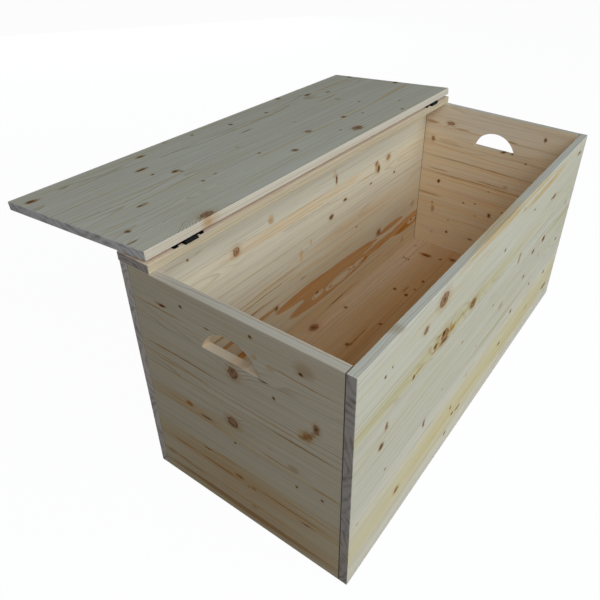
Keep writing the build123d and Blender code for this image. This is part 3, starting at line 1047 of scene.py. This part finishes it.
# %% Lid
pine(
    "lid", axes="XYZ", swung=True, face=LOW, fresh=(ACROSS, HIGH), seed=85,
    ring_strength=0.4, edge_lines=-0.25, eye_lines=0.6, push=50, dead_share=0.78,
    pale=tint(209, 200, 175), fresh_tone=tint(230, 213, 184), gold=tint(214, 182, 136),
    sawn=(tint(229, 216, 204), tint(158, 145, 136)),
    eyes=[(-406, -8, 17, 22)],
    staves=[(-322, 0.25), (-240, 0.1), (-140, 0.2), (-62, 0.15), (-3, 0.2)],
    live=[(-400, -14, 14, 9), (125, -40, 14, 11), (50, -131, 8, 7), (185, -120, 6, 5), (540, -175, 8, 6)],
    dead=[
        (-515, -85, 5, 5), (-68, -78, 8, 7), (-286, -226, 7, 5), (-277, -213, 3, 3), (-315, -298, 10, 4),
        (-262, -366, 8, 4), (-294, -134, 4, 4), (-255, -139, 5, 2), (-320, -255, 4, 3),
        (-528, -358, 8, 5), (-455, -362, 9, 2), (95, -68, 3, 3), (310, -20, 5, 4), (235, -95, 5, 2),
        (375, -67, 6, 2), (320, -162, 6, 2), (-15, -272, 17, 2.5), (365, -300, 7, 4), (125, -330, 5, 5),
        (5, -345, 5, 6), (312, -336, 10, 6), (243, -390, 6, 9), (545, -345, 8, 7), (-120, -139, 4, 3),
        (-536, -46, 11, 2), (-437, -151, 5, 3), (-100, -372, 4, 3),
    ],
    shade=[
        (315, -230, 9, 14), (-115, -210, 8, 5), (95, -210, 6, 5), (290, -320, 20, 8), (-418, -14, 6, 5),
        (-170, -392, 6, 8), (500, -330, 8, 5),
    ],
    resin=[
        (-430, -152, 14, 6), (-282, -222, 14, 9), (-312, -298, 20, 7), (-262, -365, 16, 6),
        (-525, -357, 16, 8), (318, -336, 18, 6), (183, -121, 10, 6), (540, -175, 12, 9),
        (545, -344, 14, 12), (320, -262, 60, 3),
    ],
    amber=[
        (-122, -121, 28, 3), (-40, -119, 100, 2), (70, -118, 80, 2), (150, -112, 110, 2.5),
        (300, -117, 130, 3), (400, -123, 110, 4), (470, -129, 90, 7), (-330, -205, 90, 2),
        (-430, -212, 60, 2), (430, -335, 110, 6), (60, -306, 190, 2), (-420, -301, 90, 2),
        (230, -133, 40, 3), (-480, -256, 120, 2), (-330, -376, 220, 2), (40, -386, 220, 2),
    ],
    golden=[(-410, -2, 16, 7)],
)

# %% [markdown]
# ## Splines
# The loose tongues inside the corner joints never show, but they are pieces of wood all the same. Plain
# hardwood with short dark flecks is enough for them.

# %% Splines
BEECH = tint(205, 174, 136)
BEECH_DARK = tint(168, 128, 92)
FLECK = (6.0, 0.7, 2.0, 4)
BEECH_BAND = (160.0, 6.0, 2.0, 9)
BAND_DARK = (0.3, 0.8)
FLECK_DARK = (0.6, 0.75)
DARK_SHARE = 0.6
SPLINE_ROUGHNESS = 0.7
SPLINE_SMOOTH = 0.15
SPLINE_RELIEF = {"Strength": 0.3, "Distance": 0.0002}


def beech(name, axes):
    """Makes the finish of one spline and gives it to its node."""
    material, tree = new_finish(name + "_beech")
    place = grain_place(tree, axes)
    fleck = stretched_noise(tree, place, FLECK, 0)
    band = stretched_noise(tree, place, BEECH_BAND, 0)
    colour = tree.mix(band.rise(*BAND_DARK) * DARK_SHARE, BEECH, BEECH_DARK)
    colour = tree.mix(fleck.rise(*FLECK_DARK) * DARK_SHARE, colour, BEECH_DARK)
    rough = SPLINE_ROUGHNESS - band * SPLINE_SMOOTH
    relief = tree.add("ShaderNodeBump", inputs={**SPLINE_RELIEF, "Height": fleck})
    cover(tree, {"Base Color": colour, "Roughness": rough, "Normal": relief})
    dress(name, material)
    print(name, "beech:", len(tree.nodes), "nodes")


for corner in ("front_left", "front_right", "back_left", "back_right"):
    beech(corner + "_spline", "ZYX")
beech("rail_spline", "XZY")

# %% [markdown]
# ## Hinges and screws
# The hinges are stamped steel with a satin black coat. A coat like that is never quite even: it has a
# fine skin like orange peel, faint cloudy patches and rubbed places where grey steel begins to show. The
# screws have the same coat, rubbed a little more by the driver.

# %% Black steel
BLACK = tint(13, 13, 13)
DUSTY = tint(26, 25, 25)
BARE = tint(110, 110, 112)
CLOUD = {"Scale": 90.0, "Detail": 3.0}
PEEL = {"Scale": 1500.0, "Detail": 1.0}
SCUFF = {"Scale": 420.0, "Detail": 4.0}
WORN = (0.72, 0.86)        # scuffs this strong rub through the coat
WORN_SHARE = 0.5
WORN_METAL = 0.8
CLOUDY = (0.4, 0.75)
CLOUDY_SHARE = 0.55
COAT_ROUGHNESS = 0.46
COAT_DULL = 0.2
COAT_SHINE = 0.1
COAT_RELIEF = {"Strength": 0.25, "Distance": 0.0001}
DRIVER_RUB = 0.05


def black_steel(name, rubbed):
    """A black coat; the more it is rubbed, the more bare steel shows."""
    material, tree = new_finish(name + "_black_steel")
    point = tree.add("ShaderNodeTexCoord", outputs=("Object",))
    cloud = tree.add("ShaderNodeTexNoise", inputs={"Vector": point, **CLOUD})
    peel = tree.add("ShaderNodeTexNoise", inputs={"Vector": point, **PEEL})
    scuff = tree.add("ShaderNodeTexNoise", inputs={"Vector": point, **SCUFF})
    worn = scuff.rise(WORN[0] - rubbed, WORN[1] - rubbed)
    colour = tree.mix(cloud.rise(*CLOUDY) * CLOUDY_SHARE, BLACK, DUSTY)
    cover(tree, {
        "Base Color": tree.mix(worn * WORN_SHARE, colour, BARE),
        "Metallic": worn * WORN_METAL,
        "Roughness": COAT_ROUGHNESS + cloud * COAT_DULL,
        "Specular IOR Level": COAT_SHINE,
        "Normal": tree.add("ShaderNodeBump", inputs={**COAT_RELIEF, "Height": peel}),
    })
    return material


hinge_coat = black_steel("hinge", 0.0)
screw_coat = black_steel("screw", DRIVER_RUB)
hinge_pieces = [name for name in frame["nodes"] if "_hinge_" in name]
screw_groups = [name for name in frame["nodes"] if name.endswith("_screws")]
for name in hinge_pieces:
    dress(name, hinge_coat)
for name in screw_groups:
    dress(name, screw_coat)
print(len(hinge_pieces), "hinge pieces and", len(screw_groups), "groups of screws coated")
